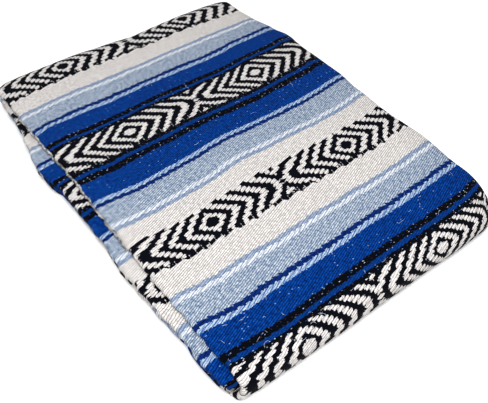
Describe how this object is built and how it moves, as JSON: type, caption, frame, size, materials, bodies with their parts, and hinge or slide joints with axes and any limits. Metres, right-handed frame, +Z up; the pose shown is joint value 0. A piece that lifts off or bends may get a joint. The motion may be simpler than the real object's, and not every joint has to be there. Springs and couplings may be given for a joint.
{
  "type": "folded woven blanket",
  "caption": "Thick woven striped blanket folded into a flat rectangular bundle with a rounded front roll, uneven folded side edges and rows of concentric diamonds between the stripes.",
  "frame": {"origin": "centre of the bounding box's underside, on the surface that the bundle rests on", "axes": "+Z up through the layers, +X along the stripes, +Y across the stripes from the front roll to the back edges"},
  "size_m": [0.4874, 0.66, 0.0429],
  "materials": {
    "woven_cloth": "matt woven acrylic and cotton yarn in blue, white and black stripes"
  },
  "bodies": {
    "root": {"blanket": "woven_cloth"}
  },
  "joints": []
}
